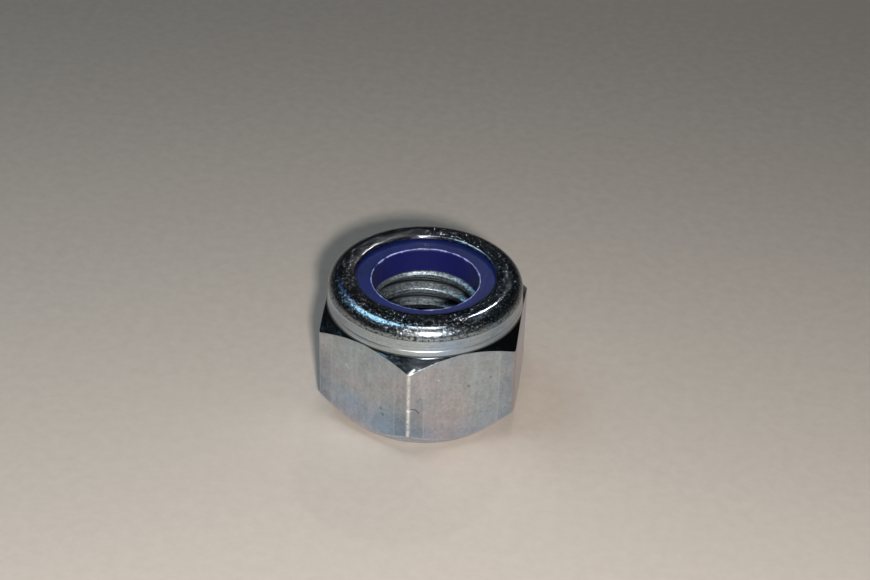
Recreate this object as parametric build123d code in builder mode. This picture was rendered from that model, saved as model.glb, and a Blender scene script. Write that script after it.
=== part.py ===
from build123d import *
from math import cos, radians, sin, tan
import os

# Nylon insert lock nut, M8 x 1.25, standing on its bearing face.
# Origin: the centre of the bearing face. +Z runs up the thread axis to the collar.
# Two corners of the hexagon lie on the Y axis and two of its flats face along X.
# All lengths are in millimetres and all angles in degrees.

# Hexagon
across_flats = 12.9
corner_radius = 0.3
shoulder_height = 7.35
top_chamfer_angle = 37.0
bearing_diameter = 11.65
bottom_chamfer_angle = 47.0

# Collar and its rolled lip
land_inset = 0.02
land_height = 0.45
land_step = 0.03
root_radius = 0.2
collar_wall = 0.6
fold_bevel = 0.35
lip_reach = 1.225
lip_thickness = 0.35
lip_fall = 0.05

# Bore, cut at the crests of the thread
thread_diameter = 8.0
thread_pitch = 1.25
entry_margin = 0.3
entry_angle = 45.0
exit_chamfer = 0.15

# Nylon insert
insert_thickness = 1.72
insert_bite = 0.5
insert_clearance = 0.03
insert_edge_chamfer = 0.08

# The hexagon and the thread
flat_radius = across_flats / 2
corner_reach = flat_radius / cos(radians(30))
bearing_radius = bearing_diameter / 2
bore_radius = thread_diameter / 2 - 5 / 8 * thread_pitch * sin(radians(60))
entry_radius = thread_diameter / 2 + entry_margin
entry_depth = (entry_radius - bore_radius) * tan(radians(entry_angle))

# The collar stands just inside the flats, and its recess has its floor level with their shoulder
land_radius = flat_radius - land_inset
collar_radius = land_radius - land_step
recess_radius = collar_radius - collar_wall
seat_height = shoulder_height

# The lip is rolled down on to the insert, so the insert sets the height of the nut
insert_top = seat_height + insert_thickness
lip_underside = insert_top + insert_clearance
lip_top = lip_underside + lip_thickness
height = lip_top + lip_fall
lip_radius = recess_radius - lip_reach
nose_radius = lip_thickness / 2

# The outside of the roll is a quarter circle. The fold within it is a bevel across the same quarter,
# because the metal gathers there as the collar is rolled in.
roll_radius = fold_bevel + collar_wall
roll_x = recess_radius - fold_bevel
roll_z = height - roll_radius


def bottom_cone(radius):
    """Height of the bottom chamfer at a radius: it starts at the edge of the bearing face."""
    return (radius - bearing_radius) * tan(radians(bottom_chamfer_angle))


def top_cone(radius):
    """Height of the top chamfer at a radius: it meets the flats at the shoulder height."""
    return shoulder_height - (radius - flat_radius) * tan(radians(top_chamfer_angle))


def roll_point(radius, angle):
    """Point on a circle about the centre of the roll, at an angle above the horizontal."""
    return (roll_x + radius * cos(radians(angle)), roll_z + radius * sin(radians(angle)))


# Nut body: its whole half section is turned, then the hexagon cuts the flats.
# The collar is inside the flats, so it stays round.
land_foot = (land_radius, top_cone(land_radius))
land_top = (land_radius, land_foot[1] + land_height)

with BuildPart() as nut_body:
    with BuildSketch(Plane.XZ) as body_section:
        with BuildLine():
            Polyline(
                (bore_radius, entry_depth),
                (entry_radius, 0),
                (bearing_radius, 0),
                (corner_reach, bottom_cone(corner_reach)),
                (corner_reach, top_cone(corner_reach)),
                land_foot,
                land_top,
                (collar_radius, land_top[1] + land_step),
                roll_point(roll_radius, 0),
            )
            ThreePointArc(*(roll_point(roll_radius, angle) for angle in (0, 45, 90)))
            TangentArc(roll_point(roll_radius, 90), (lip_radius + nose_radius, lip_top), tangent=(-1, 0))
            ThreePointArc(
                (lip_radius + nose_radius, lip_top),
                (lip_radius, lip_top - nose_radius),
                (lip_radius + nose_radius, lip_underside),
            )
            Polyline(
                (lip_radius + nose_radius, lip_underside),
                roll_point(fold_bevel, 90),
                roll_point(fold_bevel, 0),
                (recess_radius, seat_height),
                (bore_radius + exit_chamfer, seat_height),
                (bore_radius, seat_height - exit_chamfer),
                (bore_radius, entry_depth),
            )
        make_face()
        fillet(body_section.vertices().sort_by_distance(land_foot)[0], root_radius)
    revolve(axis=Axis.Z)
    with BuildSketch() as hexagon:
        RegularPolygon(flat_radius, 6, major_radius=False, rotation=30)
        fillet(hexagon.vertices(), corner_radius)
    extrude(amount=height, mode=Mode.INTERSECT)

nut_body.part.label = "nut_body"

# Nylon insert: it sits on the floor of the recess, and follows the wall, the fold and the lip a clearance
# inside them. The thread's crests bite into it by the same depth all round.
insert_bore_radius = thread_diameter / 2 - insert_bite
insert_radius = recess_radius - insert_clearance
insert_fold_bevel = fold_bevel - insert_clearance

with BuildPart() as nylon_insert:
    with BuildSketch(Plane.XZ):
        with BuildLine():
            Polyline(
                (insert_bore_radius, insert_top),
                (insert_bore_radius, seat_height),
                (insert_radius, seat_height),
                roll_point(insert_fold_bevel, 0),
                roll_point(insert_fold_bevel, 90),
                (lip_radius + nose_radius, insert_top),
                close=True,
            )
        make_face()
    revolve(axis=Axis.Z)
    bore_wall = nylon_insert.faces().filter_by(GeomType.CYLINDER).sort_by(SortBy.RADIUS)[0]
    chamfer(bore_wall.edges().filter_by(GeomType.CIRCLE), insert_edge_chamfer)

nylon_insert.part.label = "nylon_insert"

os.makedirs("parts", exist_ok=True)
export_step(nut_body.part, "parts/nut_body.step")
export_step(nylon_insert.part, "parts/nylon_insert.step")
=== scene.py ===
"""Nylon insert lock nut: the dressed model of its two pieces, laid out as a Blender add-on."""
import math

import bpy
from bpy.props import FloatProperty, FloatVectorProperty, IntProperty, PointerProperty
from mathutils import Matrix, Vector


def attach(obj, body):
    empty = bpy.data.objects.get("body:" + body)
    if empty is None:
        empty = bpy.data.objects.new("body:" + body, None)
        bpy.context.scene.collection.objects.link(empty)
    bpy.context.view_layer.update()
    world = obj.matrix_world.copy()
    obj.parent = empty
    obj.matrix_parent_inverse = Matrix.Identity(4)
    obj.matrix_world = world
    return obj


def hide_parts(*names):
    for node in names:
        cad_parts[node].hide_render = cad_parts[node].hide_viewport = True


bl_info = {
    "name": "Nylon insert lock nut",
    "version": (1, 0, 0),
    "blender": (4, 5, 0),
    "location": "3D View > Sidebar > Lock nut",
    "description": "Builds a zinc plated lock nut with a nylon ring, and a plain stage for it",
    "category": "Object",
}

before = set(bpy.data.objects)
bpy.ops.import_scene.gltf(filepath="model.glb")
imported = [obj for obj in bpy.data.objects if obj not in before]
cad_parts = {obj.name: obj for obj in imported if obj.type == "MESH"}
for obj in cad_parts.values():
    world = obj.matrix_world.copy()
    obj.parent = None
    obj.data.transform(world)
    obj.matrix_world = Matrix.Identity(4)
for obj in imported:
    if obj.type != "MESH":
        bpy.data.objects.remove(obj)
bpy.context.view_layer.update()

MM = 0.001
FULL_TURN = 2 * math.pi
SIDES = 6
SIDE_ANGLE = FULL_TURN / SIDES
HALF_SIDE = SIDE_ANGLE / 2
MERGE_DISTANCE = 0.0001 * MM


def length(name, description, millimetres):
    """A length property, stored in metres and given here in millimetres."""
    return FloatProperty(name=name, description=description, default=millimetres * MM, unit="LENGTH",
                         subtype="DISTANCE", precision=5, min=0.0)


def angle(name, description, degrees):
    """An angle property, given here in degrees."""
    return FloatProperty(name=name, description=description, default=math.radians(degrees), unit="ROTATION",
                         subtype="ANGLE")


def colour(name, description, rgb):
    """A linear colour property."""
    return FloatVectorProperty(name=name, description=description, default=rgb, size=3, subtype="COLOR",
                               min=0.0, max=1.0)


def count(name, description, number, least=0):
    """A whole number property."""
    return IntProperty(name=name, description=description, default=number, min=least)


class LockNutBodySizes(bpy.types.PropertyGroup):
    """Sizes of the steel nut."""

    flat_radius: length("Flat radius", "From the axis to a flat", 6.45)
    corner_radius: length("Corner radius", "Rounding of the hexagon's upright edges", 0.3)
    corner_ease: length("Corner ease", "How far a flat falls away just before its upright edges", 0.02)
    ease_width: length("Ease width", "Width over which a flat falls away", 0.95)
    shoulder_height: length("Shoulder height", "Top of a flat at its middle, and the recess's floor", 7.35)
    top_chamfer: angle("Top chamfer", "Slope of the chamfer above the flats", 37.0)
    bearing_radius: length("Bearing radius", "Outer edge of the bearing face", 5.825)
    bottom_chamfer: angle("Bottom chamfer", "Slope of the chamfer below the flats", 47.0)
    edge_round: length("Lower edge rounding", "How far the lower edges are rounded back", 0.06)
    crisp_round: length("Upper edge rounding", "How far the flats' upper edges are rounded back", 0.015)
    land_radius: length("Land radius", "Low band at the collar's foot", 6.43)
    land_height: length("Land height", "Height of that band", 0.45)
    root_radius: length("Root radius", "Rounding at the collar's foot", 0.2)
    collar_radius: length("Collar radius", "Outside of the collar", 6.40)
    land_step: length("Land step", "Height of the step from the band to the collar", 0.03)
    recess_radius: length("Recess radius", "Inside of the collar", 5.80)
    roll_centre_radius: length("Roll radius", "From the axis to the middle of the roll", 5.45)
    roll_centre_height: length("Roll height", "Height of the middle of the roll", 8.55)
    lip_radius: length("Lip radius", "Opening of the rolled lip", 4.575)
    lip_thickness: length("Lip thickness", "Thickness of the lip's edge", 0.35)
    lip_fall: length("Lip fall", "How far the lip's edge lies below its crown", 0.05)
    fold_bevel: length("Fold bevel", "Bevel inside the roll", 0.35)
    lip_wave: length("Lip wave", "Unevenness of the lip's edge", 0.03)
    lip_lean: length("Lip lean", "How much further in the lip was rolled on its -Y side", 0.15)
    nick_height: length("Nick height", "Height of the nick in the upright edge on the -Y side", 3.77)
    nick_depth: length("Nick depth", "Depth of that nick", 0.05)
    thread_radius: length("Thread radius", "Half the thread's outside diameter", 4.0)
    thread_pitch: length("Thread pitch", "Rise of the thread in one turn", 1.25)
    thread_start: length("Thread start", "Height of a crest on the +X side", 0.5025)
    crest_radius: length("Crest radius", "From the axis to the thread's crests", 3.3234)
    entry_radius: length("Entry radius", "Outer edge of the chamfer where a bolt enters", 4.3)
    exit_chamfer: length("Exit chamfer", "Chamfer at the top of the thread", 0.15)
    columns: count("Columns", "Steps round one side of the hexagon", 40, 12)
    turn_rows: count("Thread rows", "Steps up one turn of the thread", 32, 8)
    seed: count("Seed", "Seed of the small unevenness", 7)


class LockNutRingSizes(bpy.types.PropertyGroup):
    """Sizes of the nylon ring."""

    bore_radius: length("Bore radius", "Inside of the ring", 3.5)
    outer_radius: length("Outer radius", "Outside of the ring", 5.77)
    bottom: length("Bottom", "Height of the ring's underside", 7.35)
    top: length("Top", "Height of the ring's upper side", 9.07)
    lip_start: length("Lip start", "Radius at which the ring starts to dip below the lip", 4.75)
    fold_radius: length("Fold radius", "Radius at which the ring's bevel starts", 5.45)
    fold_top: length("Fold top", "Height at which the ring's bevel starts", 8.87)
    fold_foot: length("Fold foot", "Height at which the ring's bevel ends", 8.55)
    edge_chamfer: length("Edge chamfer", "Chamfer of the bore's edges", 0.08)
    burr_height: length("Burr height", "Height of the ragged burr round the bore", 0.07)
    burr_wander: length("Burr wander", "How far the burr wanders in and out", 0.04)
    columns: count("Columns", "Steps round the ring", 360, 48)
    seed: count("Seed", "Seed of the burr's shape", 3)


class LockNutFinishes(bpy.types.PropertyGroup):
    """Colours of the zinc plate and of the nylon."""

    zinc: colour("Zinc", "Bright zinc plate", (0.59, 0.67, 0.72))
    # Bluish tint in patches, and the painted bluish reflection at the foot of the flats
    zinc_blue_and_painted_reflection: colour("Zinc, blue", "Bluish tint of the plate", (0.44, 0.58, 0.76))
    # Pinkish tint in patches, and the painted pink reflection on the +X flat
    zinc_warm_and_painted_reflection: colour("Zinc, warm", "Pinkish tint of the plate", (0.72, 0.64, 0.67))
    # Pit colour: small pits, and also painted shade in the thread's roots and on the lip and the top chamfer
    zinc_pit_and_painted_shade: colour("Zinc, pits", "Small pits and the roots of the thread", (0.03, 0.035, 0.04))
    # Worn colour: rubbed edges, and a painted highlight along the upright edges, strongest on the -Y edge
    zinc_worn_and_painted_highlight: colour("Zinc, worn", "Rubbed edges of the plate", (0.95, 0.95, 0.94))
    nylon: colour("Nylon", "Blue nylon", (0.004, 0.0095, 0.064))
    nylon_bore: colour("Nylon, bore", "Nylon inside the bore", (0.007, 0.008, 0.075))
    nylon_burr: colour("Nylon, burr", "Ragged edge of the bore", (0.36, 0.37, 0.72))


class LockNutStage(bpy.types.PropertyGroup):
    """The floor, the lamps and the camera."""

    floor: colour("Floor", "Pale floor", (0.62, 0.53, 0.455))
    eye: FloatVectorProperty(name="Camera", description="Where the camera stands", subtype="TRANSLATION",
                             unit="LENGTH", default=(0.014232, -0.112836, 0.086175))
    aim: FloatVectorProperty(name="Aim", description="Point the camera looks at", subtype="TRANSLATION",
                             unit="LENGTH", default=(0.000414, 0.001810, 0.007019))
    roll: angle("Roll", "Tilt of the camera about its line of sight", 1.65)
    lens: FloatProperty(name="Lens", description="Focal length in millimetres", default=86.9, min=1.0)


class Value:
    """A number in a node tree: arithmetic on it adds math nodes to the tree."""

    def __init__(self, tree, socket):
        self.tree = tree
        self.socket = socket

    def math(self, operation, *others):
        node = self.tree.nodes.new("ShaderNodeMath")
        node.operation = operation
        for socket, value in zip(node.inputs, (self, *others)):
            plug(self.tree, socket, value)
        return Value(self.tree, node.outputs[0])

    def __add__(self, other):
        return self.math("ADD", other)

    def __radd__(self, other):
        return self.math("ADD", other)

    def __sub__(self, other):
        return self.math("SUBTRACT", other)

    def __rsub__(self, other):
        return self.math("MULTIPLY", -1.0).math("ADD", other)

    def __mul__(self, other):
        return self.math("MULTIPLY", other)

    def __rmul__(self, other):
        return self.math("MULTIPLY", other)

    def __truediv__(self, other):
        return self.math("DIVIDE", other)

    def at_least(self, other):
        return self.math("MAXIMUM", other)

    def at_most(self, other):
        return self.math("MINIMUM", other)

    def above(self, other):
        return self.math("GREATER_THAN", other)

    def towards(self, other, share):
        """This value moved towards another by a share of the way."""
        return self + (other - self) * share


def plug(tree, socket, value):
    """Links a value or a socket to an input, or sets the input to a plain number, colour or text."""
    if isinstance(value, Value):
        tree.links.new(value.socket, socket)
    elif isinstance(value, bpy.types.NodeSocket):
        tree.links.new(value, socket)
    else:
        socket.default_value = value


def port(sockets, key):
    """A socket by its number, or the one in use of those with a name."""
    if isinstance(key, int):
        return sockets[key]
    return next(socket for socket in sockets if socket.name == key and socket.enabled)


def add(tree, kind, inputs=None, **settings):
    """Adds a node with its settings and its inputs."""
    node = tree.nodes.new(kind)
    for key, value in settings.items():
        setattr(node, key, value)
    for key, value in (inputs or {}).items():
        plug(tree, port(node.inputs, key), value)
    return node


def new_tree(name, sizes):
    """A geometry node tree with named inputs for a section, its sizes, its counts and its material."""
    tree = bpy.data.node_groups.new(name, "GeometryNodeTree")
    tree.is_modifier = True
    face = tree.interface
    face.new_socket(name="Section", in_out="INPUT", socket_type="NodeSocketGeometry")
    for label in sizes:
        face.new_socket(name=label, in_out="INPUT", socket_type="NodeSocketFloat")
    for label in ("Columns", "Rows", "Seed"):
        face.new_socket(name=label, in_out="INPUT", socket_type="NodeSocketInt")
    face.new_socket(name="Material", in_out="INPUT", socket_type="NodeSocketMaterial")
    face.new_socket(name="Geometry", in_out="OUTPUT", socket_type="NodeSocketGeometry")
    entry = tree.nodes.new("NodeGroupInput")
    return tree, {socket.name: socket for socket in entry.outputs if socket.name}


def parts_of(tree, vector):
    """The three parts of a vector."""
    return [Value(tree, part) for part in add(tree, "ShaderNodeSeparateXYZ", {0: vector}).outputs]


def grid(tree, given):
    """A sheet of columns by rows, with the column and the row of each of its points."""
    columns, rows = Value(tree, given["Columns"]), Value(tree, given["Rows"])
    inputs = {"Size X": 1.0, "Size Y": 1.0, "Vertices X": columns + 1, "Vertices Y": rows}
    sheet = add(tree, "GeometryNodeMeshGrid", inputs)
    x, y, _ = parts_of(tree, tree.nodes.new("GeometryNodeInputPosition").outputs[0])
    column = ((x + 0.5) * columns).math("ROUND")
    row = ((y + 0.5) * (rows - 1)).math("ROUND")
    return sheet, column, row


def sampler(tree, given, row):
    """Functions that read a named value, or the radius and the height, of the section at each row."""

    def sample(kind, source):
        inputs = {"Geometry": given["Section"], "Value": source, "Index": row}
        node = add(tree, "GeometryNodeSampleIndex", inputs, data_type=kind, domain="POINT")
        return port(node.outputs, "Value")

    def read(name):
        source = add(tree, "GeometryNodeInputNamedAttribute", {"Name": name}, data_type="FLOAT")
        return Value(tree, sample("FLOAT", port(source.outputs, "Attribute")))

    def read_point():
        position = tree.nodes.new("GeometryNodeInputPosition").outputs[0]
        radius, _, height = parts_of(tree, sample("FLOAT_VECTOR", position))
        return radius, height

    return read, read_point


# Distance in the noise between one seed and the next, and the gain that brings its swing to about -1 to 1
SEED_STEP = 3.7
NOISE_GAIN = 2.6


def ring_noise(tree, given, turn, scale, shift, detail=1.0):
    """Smooth noise of about -1 to 1 that closes on itself round the axis."""
    place = add(tree, "ShaderNodeCombineXYZ", {0: turn.math("COSINE") * scale, 1: turn.math("SINE") * scale,
                                               2: Value(tree, given["Seed"]) * SEED_STEP + shift})
    swing = add(tree, "ShaderNodeTexNoise", {"Vector": place.outputs[0], "Scale": 1.0, "Detail": detail})
    return (Value(tree, swing.outputs[0]) - 0.5) * NOISE_GAIN


def turned(tree, given, sheet, radius, height, turn, marks):
    """Moves the sheet's points on to the shape, welds it shut and gives it its finish."""
    place = add(tree, "ShaderNodeCombineXYZ", {0: radius * turn.math("COSINE"), 1: radius * turn.math("SINE"),
                                               2: height})
    shape = sheet.outputs["Mesh"]
    for name, value in marks.items():
        inputs = {"Geometry": shape, "Name": name, "Value": value}
        store = add(tree, "GeometryNodeStoreNamedAttribute", inputs, data_type="FLOAT", domain="POINT")
        shape = store.outputs[0]
    steps = (
        ("GeometryNodeSetPosition", {"Position": place.outputs[0]}),
        ("GeometryNodeMergeByDistance", {"Distance": MERGE_DISTANCE}),
        ("GeometryNodeSetShadeSmooth", {}),
        ("GeometryNodeRealizeInstances", {}),
        ("GeometryNodeSetMaterial", {"Material": given["Material"]}),
    )
    for kind, inputs in steps:
        shape = add(tree, kind, {"Geometry": shape, **inputs}).outputs[0]
    add(tree, "NodeGroupOutput", {"Geometry": shape})


class Section:
    """A half section, row by row: each row is a point and how it behaves as it is turned."""

    def __init__(self, *marks):
        self.marks = marks
        self.rows = []

    def row(self, radius, height, **values):
        self.rows.append((radius, height, values))

    def arc(self, centre_radius, centre_height, radius, start, end, steps, **values):
        """Rows along an arc, after its first point."""
        for step in range(1, steps + 1):
            a = math.radians(start + (end - start) * step / steps)
            self.row(centre_radius + radius * math.cos(a), centre_height + radius * math.sin(a), **values)

    def mesh(self, name):
        made = bpy.data.meshes.new(name)
        made.from_pydata([(radius, 0.0, height) for radius, height, _ in self.rows], [], [])
        for mark in self.marks:
            layer = made.attributes.new(mark, "FLOAT", "POINT")
            layer.data.foreach_set("value", [float(values.get(mark, 0.0)) for _, _, values in self.rows])
        return made


# How the nut's rows behave: reach is how far a row keeps to the hexagon's outline, follow is 1 where its
# height is that of a chamfer, rise leads from the lower chamfer at 0 to the upper one at 1, pull_out and
# pull_up shift the rows of a rounded edge, thread is 1 on the thread, and lip is how much the lip's
# unevenness moves a row. The other three are finishes, and the second of them is wear with a painted
# highlight.
BODY_MARKS = ("reach", "follow", "rise", "pull_out", "pull_up", "thread", "lip", "gloss", "worn", "inside")

# Gloss of the nut's parts, by which the plate's material also tells them apart. The flats have none.
THREAD_GLOSS = 0.2
FACE_GLOSS = 0.3
LOW_CHAMFER_GLOSS = 0.4
FOLD_GLOSS = 0.5
COLLAR_GLOSS = 0.6
EDGE_GLOSS = 0.85
CHAMFER_GLOSS = 0.9
LIP_GLOSS = 1.0

# Where rows stand on each part, as shares of the way along it: they crowd at bends, and at the nick
FACE_SHARES = (0.03, 0.3, 0.7)
LOW_CHAMFER_SHARES = (0.05, 0.2, 0.5, 0.8)
FLAT_SHARES = (0.03, 0.1, 0.2, 0.3, 0.37, 0.4, 0.41, 0.42, 0.43, 0.44, 0.47, 0.55, 0.7, 0.85, 0.95, 0.975)
CHAMFER_SHARES = (0.12, 0.3, 0.5, 0.7, 0.82, 0.9, 0.918, 0.932, 0.948, 0.962, 0.976, 0.988, 1.0)
CROWN_SHARES = (0.25, 0.5, 0.75, 1.0)
ROLL_STEPS = 16
NOSE_STEPS = 12

# Middle row of each rounded edge, in and along from the sharp edge, as shares of its rounding
FACE_EDGE = (0.08, 0.09)
LOW_EDGE = (0.18, 0.07)
HIGH_EDGE = (0.21, 0.1)

# Lines that the press left round the collar: height above the land and depth
PRESS_LINES = ((0.135 * MM, 0.007 * MM), (0.285 * MM, 0.005 * MM))
PRESS_LINE_HALF_WIDTH = 0.035 * MM
LAND_EDGE_DROP = 0.03 * MM
LAND_EDGE_INSET = 0.006 * MM
BEND_GAP = 0.04 * MM  # from a hidden bend to the row that keeps the shade beside it flat
BEND_RISE = 0.011 * MM
SEAT_MARGIN = 0.15 * MM  # from the thread's outside to the row round its mouth
ROLL_LEAD = 0.2 * MM  # below the roll, where the gloss starts to climb
ROLL_LEAD_GLOSS = 0.65
ROLL_FOOT_GLOSS = 0.75


def body_section(s):
    """Half section of the steel nut, from the bearing face round to the thread."""
    section = Section(*BODY_MARKS)
    row = section.row
    e, crisp = s.edge_round, s.crisp_round
    sharp = s.flat_radius / math.cos(HALF_SIDE)
    tan_low, tan_high = math.tan(s.bottom_chamfer), math.tan(s.top_chamfer)

    # Bearing face, with the thread's entry at its inner edge
    span = s.bearing_radius - s.entry_radius
    row(s.entry_radius, 0.0, gloss=FACE_GLOSS, inside=0.5)
    for share in FACE_SHARES:
        row(s.entry_radius + share * span, 0.0, gloss=FACE_GLOSS)
    row(s.bearing_radius - e, 0.0, gloss=FACE_GLOSS)
    row(s.bearing_radius - FACE_EDGE[0] * e, FACE_EDGE[1] * e, gloss=FACE_GLOSS, worn=1.0)

    # Bottom chamfer: its outer edge is where the hexagon cuts it
    for share in LOW_CHAMFER_SHARES:
        row(s.bearing_radius + share * (sharp - s.bearing_radius), 0.0, reach=share, follow=1.0,
            gloss=LOW_CHAMFER_GLOSS)
    edge = {"reach": 1.0, "follow": 1.0}
    row(sharp, 0.0, **edge, pull_out=-e, pull_up=-e * tan_low, gloss=LOW_CHAMFER_GLOSS)
    row(sharp, 0.0, **edge, pull_out=-LOW_EDGE[0] * e, pull_up=LOW_EDGE[1] * e, gloss=FACE_GLOSS, worn=1.0)
    row(sharp, 0.0, **edge, pull_up=e, worn=0.3)

    # Flats
    for share in FLAT_SHARES:
        row(sharp, 0.0, **edge, rise=share)
    row(sharp, 0.0, **edge, rise=1.0, pull_up=-crisp)
    row(sharp, 0.0, **edge, rise=1.0, pull_out=-HIGH_EDGE[0] * crisp, pull_up=-HIGH_EDGE[1] * crisp,
        gloss=FACE_GLOSS, worn=0.2)
    row(sharp, 0.0, **edge, rise=1.0, pull_out=-crisp, pull_up=crisp * tan_high, gloss=EDGE_GLOSS)

    # Top chamfer and the rounding at the collar's foot
    for share in CHAMFER_SHARES:
        row(sharp - share * (sharp - s.land_radius), 0.0, reach=1.0 - share, follow=1.0, rise=1.0,
            gloss=CHAMFER_GLOSS)

    # Land, the step above it and the collar's wall with the lines left by the press
    foot = s.shoulder_height - (s.land_radius - s.flat_radius) * tan_high
    land_top = foot + s.land_height
    row(s.land_radius, foot + 0.5 * s.land_height, gloss=COLLAR_GLOSS)
    row(s.land_radius, land_top - LAND_EDGE_DROP, gloss=COLLAR_GLOSS)
    row(s.land_radius - LAND_EDGE_INSET, land_top, gloss=COLLAR_GLOSS, worn=0.5)
    wall = s.collar_radius
    row(wall, land_top + s.land_step, gloss=COLLAR_GLOSS)
    for lift, depth in PRESS_LINES:
        line = land_top + lift
        row(wall, line - PRESS_LINE_HALF_WIDTH, gloss=COLLAR_GLOSS)
        row(wall - depth, line, gloss=COLLAR_GLOSS)
        row(wall, line + PRESS_LINE_HALF_WIDTH, gloss=COLLAR_GLOSS)

    # Roll, crown and nose of the lip
    row(wall, s.roll_centre_height - ROLL_LEAD, gloss=ROLL_LEAD_GLOSS)
    row(wall, s.roll_centre_height, gloss=ROLL_FOOT_GLOSS)
    roll = wall - s.roll_centre_radius
    section.arc(s.roll_centre_radius, s.roll_centre_height, roll, 0, 90, ROLL_STEPS, gloss=LIP_GLOSS)
    nose = s.lip_thickness / 2
    nose_radius = s.lip_radius + nose
    crown = s.roll_centre_height + roll
    reach = s.roll_centre_radius - nose_radius
    bow = (reach ** 2 + s.lip_fall ** 2) / (2 * s.lip_fall)
    for share in CROWN_SHARES:
        x = share * reach
        drop = bow - math.sqrt(bow ** 2 - x ** 2)
        row(s.roll_centre_radius - x, crown - drop, gloss=LIP_GLOSS, lip=share ** 2)
    middle = crown - s.lip_fall - nose
    section.arc(nose_radius, middle, nose, 90, 270, NOSE_STEPS, gloss=LIP_GLOSS, lip=1.0)

    # Underside of the lip, the fold, the recess and the seat of the ring
    under = middle - nose
    fold_top = s.roll_centre_height + s.fold_bevel
    row(nose_radius + 0.3 * reach, under + 0.3 * (fold_top - under), gloss=COLLAR_GLOSS, lip=0.5)
    row(s.roll_centre_radius - BEND_GAP, fold_top + BEND_RISE, gloss=FOLD_GLOSS)
    row(s.roll_centre_radius, fold_top, gloss=FOLD_GLOSS)
    row(s.recess_radius, s.roll_centre_height, gloss=FOLD_GLOSS)
    row(s.recess_radius, s.roll_centre_height - BEND_GAP, gloss=FOLD_GLOSS)
    row(s.recess_radius, s.shoulder_height + BEND_GAP, gloss=FACE_GLOSS)
    row(s.recess_radius, s.shoulder_height, gloss=FACE_GLOSS)
    row(s.recess_radius - BEND_GAP, s.shoulder_height, gloss=FACE_GLOSS)
    row(s.thread_radius + SEAT_MARGIN, s.shoulder_height, gloss=FACE_GLOSS)

    # Thread: the rows climb with the turn, and those past either end close up on it. The turn runs from a
    # twelfth of a whole turn before +X, which is half a side, to eleven twelfths after it.
    step = s.thread_pitch / s.turn_rows
    first = math.floor((-s.thread_pitch * 11 / 12 - s.thread_start) / step)
    last = math.ceil((s.shoulder_height + s.thread_pitch / 12 - s.thread_start) / step)
    for index in range(last, first - 1, -1):
        row(s.crest_radius, s.thread_start + index * step, thread=1.0, inside=1.0, gloss=THREAD_GLOSS)
    return section


BODY_SIZES = ("Flat radius", "Corner radius", "Corner ease", "Ease width", "Shoulder height", "Top chamfer",
              "Bearing radius", "Bottom chamfer", "Land radius", "Root radius", "Lip wave", "Lip lean",
              "Nick height", "Nick depth", "Thread radius", "Thread pitch", "Thread start", "Crest radius",
              "Entry radius", "Exit chamfer")

CROWDING = 0.45  # how much the columns crowd towards the corners
RIDGE_WIDTH = 0.12 * MM  # half the width of the line of wear and painted highlight on an upright edge
EDGE_ROOM = 0.5 * MM  # how far the outline stands past the land where its edges are fully rounded
WAVE_RISE = 0.4  # how much the lip's unevenness goes up and down, as a share of in and out
NICK_HALF_HEIGHT = 0.14 * MM
NICK_HALF_WIDTH = 0.2 * MM
CREST_SHARE = 0.125  # half the width of a crest, as a share of the pitch
FLANK_SLOPE = math.sqrt(3)  # depth of a flank over its length along the axis, on a 60 degree thread


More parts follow.
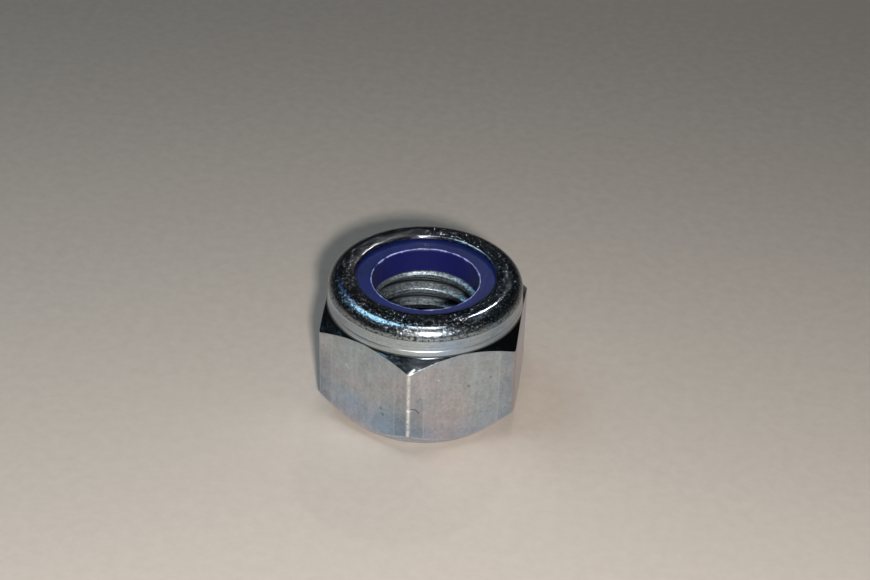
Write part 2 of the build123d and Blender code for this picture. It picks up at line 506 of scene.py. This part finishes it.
def body_tree():
    """Geometry nodes that turn the nut's half section, cut it to a hexagon and give it its thread."""
    tree, given = new_tree("Lock nut body", BODY_SIZES)
    size = {label: Value(tree, given[label]) for label in BODY_SIZES}
    sheet, column, row = grid(tree, given)
    read, read_point = sampler(tree, given, row)
    radius, height = read_point()

    # Turn of each column: they crowd together towards the corners
    per_side = Value(tree, given["Columns"]) / SIDES
    side = (column / per_side).math("FLOOR")
    across = (column / per_side - side) * 2 - 1
    swing = (across * (1 + CROWDING) - across.math("POWER", 3.0) * CROWDING) * HALF_SIDE
    turn = side * SIDE_ANGLE + swing

    # Hexagon with rounded corners, from the axis outwards at each turn
    flat, rounding = size["Flat radius"], size["Corner radius"]
    away = swing.math("ABSOLUTE")
    along = flat * away.math("TANGENT")
    inner = flat - rounding
    corner = inner * math.tan(HALF_SIDE)
    lead = inner * (away.math("COSINE") + away.math("SINE") * math.tan(HALF_SIDE))
    root = lead * lead - inner * inner / math.cos(HALF_SIDE) ** 2 + rounding * rounding
    rounded = lead + root.at_least(0.0).math("SQRT")
    edge = (flat / away.math("COSINE")).towards(rounded, along.above(corner))
    ease = ((along - corner) / size["Ease width"] + 1).at_least(0.0).at_most(1.0)
    edge = edge - size["Corner ease"] * ease * ease

    # How much a point faces -Y, and the line of wear and painted highlight on each upright edge
    front = (turn.math("SINE") * -1.0).at_least(0.0)
    ridge = (1 - (HALF_SIDE - away) * flat / RIDGE_WIDTH).at_least(0.0).math("SQRT")

    # Chamfers: height as a function of the radius, with the rounding at the collar's foot
    reach, follow, rise = read("reach"), read("follow"), read("rise")
    sharp = flat / math.cos(HALF_SIDE)
    shape_radius = radius - reach * (sharp - edge)
    low = (shape_radius - size["Bearing radius"]) * size["Bottom chamfer"].math("TANGENT")
    slope = size["Top chamfer"]
    cone = size["Shoulder height"] - (shape_radius - flat) * slope.math("TANGENT")
    land, fillet = size["Land radius"], size["Root radius"]
    tangent = fillet * ((math.pi / 2 - slope) / 2).math("TANGENT")
    bend_height = size["Shoulder height"] - (land - flat) * slope.math("TANGENT") + tangent
    offset = land + fillet - shape_radius
    bend = bend_height - (fillet * fillet - offset * offset).at_least(0.0).math("SQRT")
    in_bend = (land + tangent * slope.math("COSINE")).above(shape_radius)
    high = cone.towards(bend, in_bend)
    shape_height = height.towards(low.towards(high, rise), follow)
    room = ((edge - land) / EDGE_ROOM).at_least(0.0).at_most(1.0)
    share = 1 + rise * (room - 1)
    shape_radius = shape_radius + read("pull_out") * share
    shape_height = shape_height + read("pull_up") * share

    # Lip: a small unevenness of its rolled edge, and a wide stretch where it was rolled further in
    lip = read("lip")
    wave = lip * size["Lip wave"]
    shape_radius = shape_radius + wave * ring_noise(tree, given, turn, scale=2.2, shift=0.0)
    shape_radius = shape_radius - lip * front * size["Lip lean"]
    shape_height = shape_height + wave * WAVE_RISE * ring_noise(tree, given, turn, scale=3.1, shift=5.0)

    # Nick in the upright edge on the -Y side
    drop = (shape_height - size["Nick height"]) / NICK_HALF_HEIGHT
    beside = turn.math("COSINE") * shape_radius / NICK_HALF_WIDTH
    nick = (1 - drop * drop - beside * beside).at_least(0.0) * front.above(0.5)
    shape_radius = shape_radius - nick * size["Nick depth"] * follow

    # Thread: crest, 60 degree flanks and root, cut back by the chamfers at both ends
    is_thread = read("thread")
    pitch, crest = size["Thread pitch"], size["Crest radius"]
    climb = pitch * turn / FULL_TURN
    level = (height + climb).at_least(0.0).at_most(size["Shoulder height"])
    turns = (level - climb - size["Thread start"]) / pitch
    from_crest = (turns - (turns + 0.5).math("FLOOR")).math("ABSOLUTE")
    deepest = size["Thread radius"] - crest
    depth = ((from_crest - CREST_SHARE) * pitch * FLANK_SLOPE).at_least(0.0).at_most(deepest)
    entry = size["Entry radius"] - level
    leave = crest + size["Exit chamfer"] - (size["Shoulder height"] - level)
    thread_radius = (crest + depth).at_least(entry).at_least(leave)

    # Finish: wear with a painted highlight on the upright edges, along the whole length of the -Y edge, which
    # faces the camera, and a fifth as much on the other edges
    gloss = read("gloss")
    upright = (1 - gloss * 4).at_least(0.0) * follow
    rubbed_and_painted_highlight_edge = ridge * upright * (0.2 + 0.8 * front.above(0.9))
    marks = {
        "gloss": gloss,
        "worn": (read("worn") * (0.25 + 0.75 * room)).at_least(rubbed_and_painted_highlight_edge),
        "nick": nick * upright,
        "ease": ease * upright,
        "inside": read("inside"),
        "groove": is_thread * depth / deepest,
    }
    radius = shape_radius.towards(thread_radius, is_thread)
    height = shape_height.towards(level, is_thread)
    turned(tree, given, sheet, radius, height, turn, marks)
    return tree


RING_MARKS = ("burr", "bore")
RING_SIZES = ("Burr height", "Burr wander")

# Rows over the burr: out from the bore and down from the top in millimetres, and the shares of burr and bore
BURR_ROWS = (
    (0.22, 0.0, 0.0, 0.0),
    (0.15, 0.0, 0.08, 0.0),
    (0.11, 0.0, 0.5, 0.0),
    (0.085, 0.0, 1.0, 0.0),
    (0.06, 0.01, 0.9, 0.0),
    (0.025, 0.045, 0.45, 0.5),
    (0.0, 0.11, 0.1, 1.0),
)
BURR_FOOT = 0.2 * MM  # below the top, where the plain bore starts
BURR_RIM = 0.3 * MM  # out from the bore, where the plain upper side ends
CORNER_GAP = 0.05 * MM  # from a corner to the rows that keep the shade beside it flat
BEVEL_INSET = 0.03 * MM
DIP_GAP = 0.06 * MM
DIP_FALL = 0.017 * MM
UNDERSIDE_SHARES = (0.3, 0.7)
TOP_SHARES = (0.25, 0.5, 0.75)
BORE_SHARES = (0.3, 0.6, 0.9)


def ring_section(s):
    """Half section of the nylon ring, from the foot of its bore outwards and round to the bore's top."""
    section = Section(*RING_MARKS)
    row = section.row
    c, r, top = s.edge_chamfer, s.bore_radius, s.top
    row(r, s.bottom + c, bore=1.0)
    row(r + 0.3 * c, s.bottom + 0.3 * c, bore=1.0)
    row(r + c, s.bottom, bore=0.5)
    for share in UNDERSIDE_SHARES:
        row(r + share * (s.outer_radius - r), s.bottom)

    # Outside, bevel and dip below the lip, with a row close to each bend
    row(s.outer_radius - CORNER_GAP, s.bottom)
    row(s.outer_radius, s.bottom)
    row(s.outer_radius, s.bottom + CORNER_GAP)
    row(s.outer_radius, s.fold_foot - CORNER_GAP)
    row(s.outer_radius, s.fold_foot)
    row(s.fold_radius + BEVEL_INSET, s.fold_top - BEVEL_INSET)
    row(s.fold_radius, s.fold_top)
    row(s.fold_radius - BEND_GAP, s.fold_top + BEND_RISE)
    row(s.lip_start + DIP_GAP, top - DIP_FALL)
    row(s.lip_start, top)
    row(s.lip_start - DIP_GAP, top)

    # Upper side, burr and bore
    for share in TOP_SHARES:
        row(s.lip_start + share * (r + BURR_RIM - s.lip_start), top)
    for out, down, burr, bore in BURR_ROWS:
        row(r + out * MM, top - down * MM, burr=burr, bore=bore)
    row(r, top - BURR_FOOT, bore=1.0)
    for share in BORE_SHARES:
        row(r, top - BURR_FOOT + share * (s.bottom + c - top + BURR_FOOT), bore=1.0)
    row(r, s.bottom + c, bore=1.0)
    return section


def ring_tree():
    """Geometry nodes that turn the ring's half section and raise the ragged burr round its bore."""
    tree, given = new_tree("Lock nut ring", RING_SIZES)
    sheet, column, row = grid(tree, given)
    read, read_point = sampler(tree, given, row)
    radius, height = read_point()
    turn = column / Value(tree, given["Columns"]) * FULL_TURN
    burr = read("burr")
    ragged = ring_noise(tree, given, turn, scale=6.0, shift=0.0, detail=3.0)
    ragged = (ragged * 0.5 + 0.5).at_least(0.0).at_most(1.0)
    wander = ring_noise(tree, given, turn, scale=9.0, shift=4.0, detail=2.0)
    radius = radius + burr * Value(tree, given["Burr wander"]) * wander
    height = height + burr * Value(tree, given["Burr height"]) * ragged
    marks = {"burr": burr * (0.35 + 0.65 * ragged), "bore": read("bore")}
    turned(tree, given, sheet, radius, height, turn, marks)
    return tree


def build(name, section, tree, values):
    """Runs a tree on a section and gives a plain mesh object at the origin."""
    holder = bpy.data.objects.new(name + "_rule", section.mesh(name + "_section"))
    bpy.context.scene.collection.objects.link(holder)
    modifier = holder.modifiers.new(name, "NODES")
    modifier.node_group = tree
    for item in tree.interface.items_tree:
        if item.in_out == "INPUT" and item.name in values:
            modifier[item.identifier] = values[item.name]
    graph = bpy.context.evaluated_depsgraph_get()
    mesh = bpy.data.meshes.new_from_object(holder.evaluated_get(graph), preserve_all_data_layers=True,
                                           depsgraph=graph)
    rule_mesh = holder.data
    bpy.data.objects.remove(holder)
    bpy.data.meshes.remove(rule_mesh)
    if not mesh.polygons:
        raise RuntimeError(f"{name} came out empty")
    mesh.name = name
    piece = bpy.data.objects.new(name, mesh)
    bpy.context.scene.collection.objects.link(piece)
    return piece


def new_material(name):
    """A material with an empty node tree and its output."""
    material = bpy.data.materials.new(name)
    material.use_nodes = True
    tree = material.node_tree
    tree.nodes.clear()
    shader = add(tree, "ShaderNodeBsdfPrincipled")
    add(tree, "ShaderNodeOutputMaterial", {"Surface": shader.outputs[0]})
    return material, tree, shader


def attribute(tree, name):
    """A value stored on the mesh."""
    return Value(tree, add(tree, "ShaderNodeAttribute", attribute_name=name).outputs["Fac"])


def noise(tree, place, counts, detail, roughness, shift=(0.0, 0.0, 0.0)):
    """Noise of about 0 to 1 in object space, with its counts per millimetre along each axis."""
    scale = tuple(number / MM for number in counts)
    scaled = add(tree, "ShaderNodeMapping", {"Vector": place, "Location": shift, "Scale": scale})
    made = add(tree, "ShaderNodeTexNoise", {"Vector": scaled.outputs[0], "Scale": 1.0, "Detail": detail,
                                            "Roughness": roughness})
    return Value(tree, made.outputs[0])


def ramp(value, low, high):
    """0 below a value, 1 above another and a straight climb between them."""
    return ((value - low) / (high - low)).at_least(0.0).at_most(1.0)


def mix(tree, share, first, second):
    """One colour mixed with another."""
    node = add(tree, "ShaderNodeMix", {"Factor": share}, data_type="RGBA")
    for key, value in (("A", first), ("B", second)):
        linked = isinstance(value, bpy.types.NodeSocket)
        plug(tree, port(node.inputs, key), value if linked else (*value, 1.0))
    return port(node.outputs, "Result")


def bump(tree, height, distance):
    """A bump node for a height of about 0 to 1 and its depth in metres."""
    return add(tree, "ShaderNodeBump", {"Height": height, "Distance": distance, "Strength": 1.0}).outputs[0]


def streak(tree, place, start, end, width):
    """1 along a line between two points given in millimetres, falling to 0 at a width beside it."""
    start, end = Vector(start) * MM, Vector(end) * MM
    run = end - start
    away = add(tree, "ShaderNodeVectorMath", {0: place, 1: tuple(start)}, operation="SUBTRACT").outputs[0]
    dot = add(tree, "ShaderNodeVectorMath", {0: away, 1: tuple(run)}, operation="DOT_PRODUCT")
    share = (Value(tree, dot.outputs["Value"]) / run.length_squared).at_least(0.0).at_most(1.0)
    along = add(tree, "ShaderNodeVectorMath", {0: tuple(run)}, operation="SCALE")
    plug(tree, port(along.inputs, "Scale"), share)
    off = add(tree, "ShaderNodeVectorMath", {0: away, 1: along.outputs[0]}, operation="DISTANCE")
    return (1 - Value(tree, off.outputs["Value"]) / (width * MM)).at_least(0.0)


def strongest(tree, place, marks):
    """The strongest of a list of marks at each point."""
    found, *others = [streak(tree, place, start, end, width) for start, end, width in marks]
    for other in others:
        found = found.at_least(other)
    return found


# Tint of the thread, and the tone that every shade of the plate leans towards
THREAD_TINT = (0.45, 0.58, 0.62)
SHADE_TINT = (0.05, 0.055, 0.06)

# Where a finish or a painted reflection fades in: the roll's roughness from the axis, the painted pink
# reflection along X on the +X flat, and the painted bluish reflection at the foot of the flats, fading out up
# from the floor
ROLL_FADE = (5.75 * MM, 6.1 * MM)
PAINTED_SIDE_REFLECTION_FADE = (6.2 * MM, 6.4 * MM)
PAINTED_FOOT_REFLECTION_FADE = (1.2 * MM, 3.6 * MM)

# Depth of the finest relief of each surface
PLATE_RELIEF = 0.02 * MM
NYLON_RELIEF = 0.015 * MM
FLOOR_RELIEF = 0.02 * MM

# Small marks on the two flats beside the -Y edge and on the chamfer above it, in millimetres: start, end and
# half width
LIGHT_MARKS = (
    ((0.04, -7.33, 6.70), (0.30, -7.10, 6.86), 0.16),
    ((-4.50, -4.85, 5.20), (-4.22, -5.01, 4.90), 0.06),
    ((1.80, -6.41, 5.78), (1.81, -6.40, 5.70), 0.07),
)
DARK_MARKS = (
    ((-1.93, -6.33, 3.02), (-1.91, -6.34, 2.97), 0.11),
    ((-1.79, -6.41, 2.60), (-1.77, -6.42, 2.55), 0.12),
    ((3.60, -5.37, 4.78), (3.66, -5.34, 4.74), 0.11),
    ((4.95, -4.59, 5.08), (4.97, -4.58, 5.05), 0.09),
    ((0.15, -7.34, 3.92), (0.43, -7.20, 3.82), 0.06),
    ((0.43, -7.20, 3.82), (0.68, -7.05, 3.45), 0.07),
)


def zinc_material(f):
    """Bright zinc plate: mottled flats, a turned collar wall, a hammered lip and a scratched thread, with
    painted shade, reflections and highlights in its colour.
    """
    material, tree, shader = new_material("zinc_plate")
    place = add(tree, "ShaderNodeTexCoord").outputs["Object"]
    x, y, level = parts_of(tree, place)
    radial = (x * x + y * y).math("SQRT")
    gloss, worn, inside = attribute(tree, "gloss"), attribute(tree, "worn"), attribute(tree, "inside")
    ease, groove, nick = attribute(tree, "ease"), attribute(tree, "groove"), attribute(tree, "nick")

    # Parts of the nut, told apart by their gloss
    flatness = (1 - gloss * 3).at_least(0.0)
    lip = ramp(gloss, 0.92, 0.98)
    chamfer = ramp(gloss, 0.80, 0.88) * (1 - lip)
    collar = ramp(gloss, 0.5, 0.6) * (1 - ramp(gloss, 0.7, 0.8))
    roll = ramp(radial, *ROLL_FADE) * lip

    # Patterns, coarse to fine
    cloud = noise(tree, place, (0.16, 0.16, 0.20), 3.0, 0.6, (3.1, 0.4, 0.2))
    blush = noise(tree, place, (0.14, 0.14, 0.22), 2.0, 0.5, (9.0, 2.0, 4.5))
    mottle = noise(tree, place, (1.1, 1.1, 1.1), 4.0, 0.65, (1.0, 7.0, 2.0))
    grain = noise(tree, place, (5.0, 5.0, 5.0), 4.0, 0.7)
    hammer = noise(tree, place, (3.0, 3.0, 3.0), 1.0, 0.5, (2.0, 2.0, 8.0))
    speck = noise(tree, place, (7.0, 7.0, 7.0), 2.0, 0.6, (4.0, 1.0, 6.0))
    drag = noise(tree, place, (3.2, 3.2, 0.22), 3.0, 0.6)
    rings = noise(tree, place, (0.22, 0.22, 9.0), 3.0, 0.65)
    scratch = noise(tree, place, (6.0, 6.0, 9.0), 2.0, 0.7, (3.0, 8.0, 1.0))
    pocks = noise(tree, place, (4.2, 4.2, 4.2), 2.0, 0.6, (5.0, 5.0, 5.0))

    # Tints of the plate, bluish and pinkish in patches, and painted reflections: bluish towards the foot of
    # the flats, and pinkish on the +X flat
    low = 1 - ramp(level, *PAINTED_FOOT_REFLECTION_FADE)
    blue = ramp(cloud + low * 0.14 + mottle * 0.12, 0.50, 0.72)
    base = mix(tree, blue, f.zinc, f.zinc_blue_and_painted_reflection)
    side = ramp(x, *PAINTED_SIDE_REFLECTION_FADE) * 0.8
    base = mix(tree, (ramp(blush, 0.46, 0.64) * 0.6).at_least(side), base, f.zinc_warm_and_painted_reflection)
    base = mix(tree, inside * 0.6, base, THREAD_TINT)

    # Shade: mottled and grained on the flats, ringed on the collar and in the thread. Where a flat starts to
    # fall away, a soft band of painted shade and a fine line of painted highlight stand in for the changed
    # reflection there
    line = ramp(ease, 0.005, 0.03) * (1 - ramp(ease, 0.05, 0.12)) * ramp(mottle + drag, 0.85, 1.25)
    band = ramp(ease, 0.04, 0.14) * ramp(cloud, 0.35, 0.6) * 0.5
    shade = 0.30 + (mottle - 0.5) * 0.9 * flatness + (grain - 0.5) * (1.1 + inside * 1.6)
    shade = shade + (drag - 0.5) * 0.5 * flatness
    shade = shade + (rings - 0.5) * (collar + inside * 1.4) + band * 0.6 - line * 0.45
    base = mix(tree, shade.at_least(0.0).at_most(0.9), base, mix(tree, 0.6, base, SHADE_TINT))

    # Pits and the thread's scratches; painted shade in the thread's roots, and painted dark reflections
    # darkening the lip and the top chamfer; and the marks
    dark = strongest(tree, place, DARK_MARKS)
    light = strongest(tree, place, LIGHT_MARKS).at_least(nick)
    pits_and_painted_shade = ramp(pocks, 0.70, 0.76) * 0.5 + (1 - ramp(speck, 0.38, 0.49)) * lip * 0.7
    pits_and_painted_shade = pits_and_painted_shade + chamfer * 0.8 + lip * 0.3 + ramp(scratch, 0.40, 0.62) * inside * 0.75
    pits_and_painted_shade = pits_and_painted_shade.at_least(ramp(groove, 0.55, 0.80)).at_least(dark * 0.7)
    base = mix(tree, (pits_and_painted_shade * (1 - light)).at_most(1.0), base, f.zinc_pit_and_painted_shade)
    # Wear, with a painted highlight along the upright edges, most on the -Y edge
    rubbed_and_painted_highlight = (worn * ramp(grain + mottle * 0.5, 0.62, 0.80)).at_least(light * 0.9)
    base = mix(tree, rubbed_and_painted_highlight.at_most(1.0), base, f.zinc_worn_and_painted_highlight)

    plug(tree, shader.inputs["Base Color"], base)
    shader.inputs["Metallic"].default_value = 1.0
    rough = 0.36 - gloss * 0.25 + (grain - 0.5) * 0.14 + inside * 0.2 + rubbed_and_painted_highlight * 0.12 + collar * 0.12
    rough = rough + roll * 0.11 + light * 0.15
    plug(tree, shader.inputs["Roughness"], rough.at_least(0.08).at_most(0.7))

    relief = (grain - 0.5) * (0.35 + 0.35 * flatness + inside * 0.9 - lip * 0.2)
    relief = relief + (mottle - 0.5) * flatness * 0.5 + (rings - 0.5) * (collar + inside) * 1.2
    relief = relief + (hammer - 0.5) * lip * 0.4 + ramp(speck, 0.58, 0.69) * (lip * 0.42 + chamfer * 0.4)
    plug(tree, shader.inputs["Normal"], bump(tree, relief - dark * 0.5, PLATE_RELIEF))
    return material


NYLON_CLOUD_GAIN = 1.5  # how much lighter the nylon's clouds are than the rest of it


def nylon_material(f):
    """Satin blue nylon, deeper in the bore and pale along the ragged burr."""
    material, tree, shader = new_material("blue_nylon")
    place = add(tree, "ShaderNodeTexCoord").outputs["Object"]
    burr, bore = attribute(tree, "burr"), attribute(tree, "bore")
    cloud = noise(tree, place, (0.6, 0.6, 0.6), 3.0, 0.6)
    grain = noise(tree, place, (7.0, 7.0, 7.0), 3.0, 0.6)
    torn = noise(tree, place, (1.6, 1.6, 1.6), 4.0, 0.8, (6.0, 6.0, 6.0))
    streaks = noise(tree, place, (3.0, 3.0, 0.6), 3.0, 0.6)

    base = mix(tree, ramp(cloud, 0.3, 0.7), f.nylon, [NYLON_CLOUD_GAIN * part for part in f.nylon])
    base = mix(tree, bore, base, f.nylon_bore)
    pale = ramp(burr + (torn - 0.5) * 1.9, 0.30, 0.75) * ramp(burr, 0.0, 0.3)
    base = mix(tree, pale, base, f.nylon_burr)
    plug(tree, shader.inputs["Base Color"], base)
    plug(tree, shader.inputs["Roughness"], 0.42 + (grain - 0.5) * 0.3)
    shader.inputs["Specular IOR Level"].default_value = 0.35
    plug(tree, shader.inputs["Normal"], bump(tree, grain * 0.6 + streaks, NYLON_RELIEF))
    return material


# Painted shade: the floor's colour darkens along Y between these places, to this share of itself, standing in
# for the light falling off towards +Y
FLOOR_PAINTED_FALLOFF = (-60 * MM, 65 * MM)
FLOOR_PAINTED_FALLOFF_SHARE = 0.36


def floor_material(stage):
    """Pale floor with a fine grain, and painted shade that darkens it towards +Y."""
    material, tree, shader = new_material("pale_floor")
    place = add(tree, "ShaderNodeTexCoord").outputs["Object"]
    # Painted shade: darker towards +Y, for the lamps' light falling off
    back = ramp(parts_of(tree, place)[1], *FLOOR_PAINTED_FALLOFF)
    back = back * back * (3 - 2 * back)
    grain = noise(tree, place, (1.2, 1.2, 1.2), 3.0, 0.6)
    painted_falloff_colour = [FLOOR_PAINTED_FALLOFF_SHARE * part for part in stage.floor]
    share = (back + (grain - 0.5) * 0.2).at_least(0.0).at_most(1.0)
    plug(tree, shader.inputs["Base Color"], mix(tree, share, stage.floor, painted_falloff_colour))
    shader.inputs["Roughness"].default_value = 0.7
    plug(tree, shader.inputs["Normal"], bump(tree, grain, FLOOR_RELIEF))
    return material


def tree_values(sizes, labels, columns, section, material):
    """What a tree's inputs are set to, by their names: each size is the property of the same name."""
    values = {label: getattr(sizes, label.lower().replace(" ", "_")) for label in labels}
    return {**values, "Columns": columns, "Rows": len(section.rows), "Seed": sizes.seed, "Material": material}


class LOCKNUT_OT_add_body(bpy.types.Operator):
    """Builds the steel nut with its rolled lip and its thread"""

    bl_idname = "lock_nut.add_body"
    bl_label = "Add nut body"

    def execute(self, context):
        s = context.scene.lock_nut_body
        section = body_section(s)
        material = zinc_material(context.scene.lock_nut_finishes)
        values = tree_values(s, BODY_SIZES, SIDES * s.columns, section, material)
        piece = build("lock_nut_body", section, body_tree(), values)
        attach(piece, "root")
        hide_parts("nut_body")
        return {"FINISHED"}


class LOCKNUT_OT_add_ring(bpy.types.Operator):
    """Builds the nylon ring that the lip holds"""

    bl_idname = "lock_nut.add_ring"
    bl_label = "Add nylon ring"

    def execute(self, context):
        s = context.scene.lock_nut_ring
        section = ring_section(s)
        material = nylon_material(context.scene.lock_nut_finishes)
        values = tree_values(s, RING_SIZES, s.columns, section, material)
        piece = build("nylon_ring", section, ring_tree(), values)
        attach(piece, "root")
        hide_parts("nylon_insert")
        return {"FINISHED"}


# Name, turn from -Y towards +X and rise above the floor in degrees, distance, width and height in metres,
# twist and spread in degrees, colour, and brightness of its surface
LAMPS = (
    ("key_lamp", 12.0, 32.0, 0.20, 0.010, 0.010, 0.0, 110.0, (1.0, 0.98, 0.95), 560.0),
    ("ceiling_panel", 12.0, 81.0, 0.35, 0.11, 0.09, 0.0, 180.0, (1.0, 0.99, 0.98), 5.0),
    ("window_strip", -98.0, 61.0, 0.35, 0.24, 0.14, 33.0, 180.0, (0.50, 0.80, 1.0), 3.2),
    ("window_low", -138.0, 46.0, 0.35, 0.08, 0.03, 0.0, 180.0, (0.45, 0.72, 1.0), 1.0),
    ("window_glow", -138.0, 38.0, 0.36, 0.20, 0.05, 0.0, 180.0, (0.06, 0.16, 0.55), 0.4),
    ("back_lamp", 177.0, 44.0, 0.35, 0.016, 0.016, 0.0, 180.0, (1.0, 0.97, 0.94), 90.0),
    ("far_strip", 125.0, 60.0, 0.36, 0.30, 0.04, 0.0, 180.0, (0.9, 0.95, 1.0), 0.25),
)
LAMP_AIM = (0.0, 0.0, 5 * MM)

# Radius and height in metres of each ring of the floor, which curls up at its rim
FLOOR_RINGS = ((0.05, 0.0), (0.2, 0.0), (0.42, 0.0), (0.5, 0.01), (0.55, 0.04), (0.57, 0.12))
FLOOR_STEPS = 96

ROOM_COLOUR = (0.8, 0.9, 1.0, 1.0)
ROOM_STRENGTH = 0.018
SENSOR_WIDTH = 36.0
CLIP_NEAR, CLIP_FAR = 0.005, 5.0


def point_at(eye, aim, roll):
    """Matrix of a lamp or camera that stands at a point and looks at another."""
    forward = (aim - eye).normalized()
    level = forward.cross(Vector((0.0, 0.0, 1.0))).normalized()
    upright = level.cross(forward)
    right = level * math.cos(roll) + upright * math.sin(roll)
    matrix = Matrix((right, right.cross(forward), -forward)).transposed().to_4x4()
    matrix.translation = eye
    return matrix


def floor_mesh():
    """A round floor whose rim curls up."""
    points, faces = [(0.0, 0.0, 0.0)], []
    for radius, height in FLOOR_RINGS:
        for step in range(FLOOR_STEPS):
            a = FULL_TURN * step / FLOOR_STEPS
            points.append((radius * math.cos(a), radius * math.sin(a), height))
    for step in range(FLOOR_STEPS):
        after = (step + 1) % FLOOR_STEPS
        faces.append((0, 1 + step, 1 + after))
    for ring in range(len(FLOOR_RINGS) - 1):
        first = 1 + ring * FLOOR_STEPS
        second = first + FLOOR_STEPS
        for step in range(FLOOR_STEPS):
            after = (step + 1) % FLOOR_STEPS
            faces.append((first + step, second + step, second + after, first + after))
    mesh = bpy.data.meshes.new("floor")
    mesh.from_pydata(points, [], faces)
    mesh.shade_smooth()
    return mesh


def put_on_stage(scene, name, data):
    """Adds an object that belongs to the stage."""
    held = bpy.data.objects.new(name, data)
    scene.collection.objects.link(held)
    return held


class LOCKNUT_OT_add_stage(bpy.types.Operator):
    """Builds the floor, the lamps and the camera"""

    bl_idname = "lock_nut.add_stage"
    bl_label = "Add stage"

    def execute(self, context):
        stage = context.scene.lock_nut_stage
        scene = context.scene
        mesh = floor_mesh()
        mesh.materials.append(floor_material(stage))
        floor = put_on_stage(scene, "floor", mesh)

        aim = Vector(LAMP_AIM)
        for name, turn, rise, distance, width, height, twist, spread, rgb, brightness in LAMPS:
            a, e = math.radians(turn), math.radians(rise)
            away = Vector((math.sin(a) * math.cos(e), -math.cos(a) * math.cos(e), math.sin(e)))
            lamp = bpy.data.lights.new(name, "AREA")
            lamp.shape = "RECTANGLE"
            lamp.size, lamp.size_y = width, height
            lamp.color = rgb
            lamp.spread = math.radians(spread)
            lamp.energy = math.pi * width * height * brightness
            held = put_on_stage(scene, name, lamp)
            held.matrix_world = point_at(aim + away * distance, aim, math.radians(twist))

        world = bpy.data.worlds.new("dim_room")
        world.use_nodes = True
        background = world.node_tree.nodes["Background"]
        background.inputs["Color"].default_value = ROOM_COLOUR
        background.inputs["Strength"].default_value = ROOM_STRENGTH
        scene.world = world

        camera = bpy.data.cameras.new("camera")
        camera.lens = stage.lens
        camera.sensor_width = SENSOR_WIDTH
        camera.clip_start, camera.clip_end = CLIP_NEAR, CLIP_FAR
        held = put_on_stage(scene, "camera", camera)
        held.matrix_world = point_at(Vector(stage.eye), Vector(stage.aim), stage.roll)
        scene.camera = held
        scene.view_settings.view_transform = "Standard"
        return {"FINISHED"}


class LOCKNUT_PT_panel(bpy.types.Panel):
    """Sizes and finishes of the lock nut, and the buttons that build it"""

    bl_idname = "LOCKNUT_PT_panel"
    bl_label = "Lock nut"
    bl_space_type = "VIEW_3D"
    bl_region_type = "UI"
    bl_category = "Lock nut"

    def draw(self, context):
        scene = context.scene
        boxes = (
            (scene.lock_nut_finishes, None),
            (scene.lock_nut_body, LOCKNUT_OT_add_body),
            (scene.lock_nut_ring, LOCKNUT_OT_add_ring),
            (scene.lock_nut_stage, LOCKNUT_OT_add_stage),
        )
        for group, operator in boxes:
            box = self.layout.box()
            for name in group.__annotations__:
                box.prop(group, name)
            if operator:
                box.operator(operator.bl_idname)


GROUPS = {
    "lock_nut_body": LockNutBodySizes,
    "lock_nut_ring": LockNutRingSizes,
    "lock_nut_finishes": LockNutFinishes,
    "lock_nut_stage": LockNutStage,
}
CLASSES = (*GROUPS.values(), LOCKNUT_OT_add_body, LOCKNUT_OT_add_ring, LOCKNUT_OT_add_stage, LOCKNUT_PT_panel)


def register():
    for item in CLASSES:
        bpy.utils.register_class(item)
    for name, group in GROUPS.items():
        setattr(bpy.types.Scene, name, PointerProperty(type=group))


def unregister():
    for name in GROUPS:
        delattr(bpy.types.Scene, name)
    for item in reversed(CLASSES):
        bpy.utils.unregister_class(item)


def main():
    register()
    bpy.ops.lock_nut.add_body()
    bpy.ops.lock_nut.add_ring()
    bpy.ops.lock_nut.add_stage()


if __name__ == "__main__":
    main()
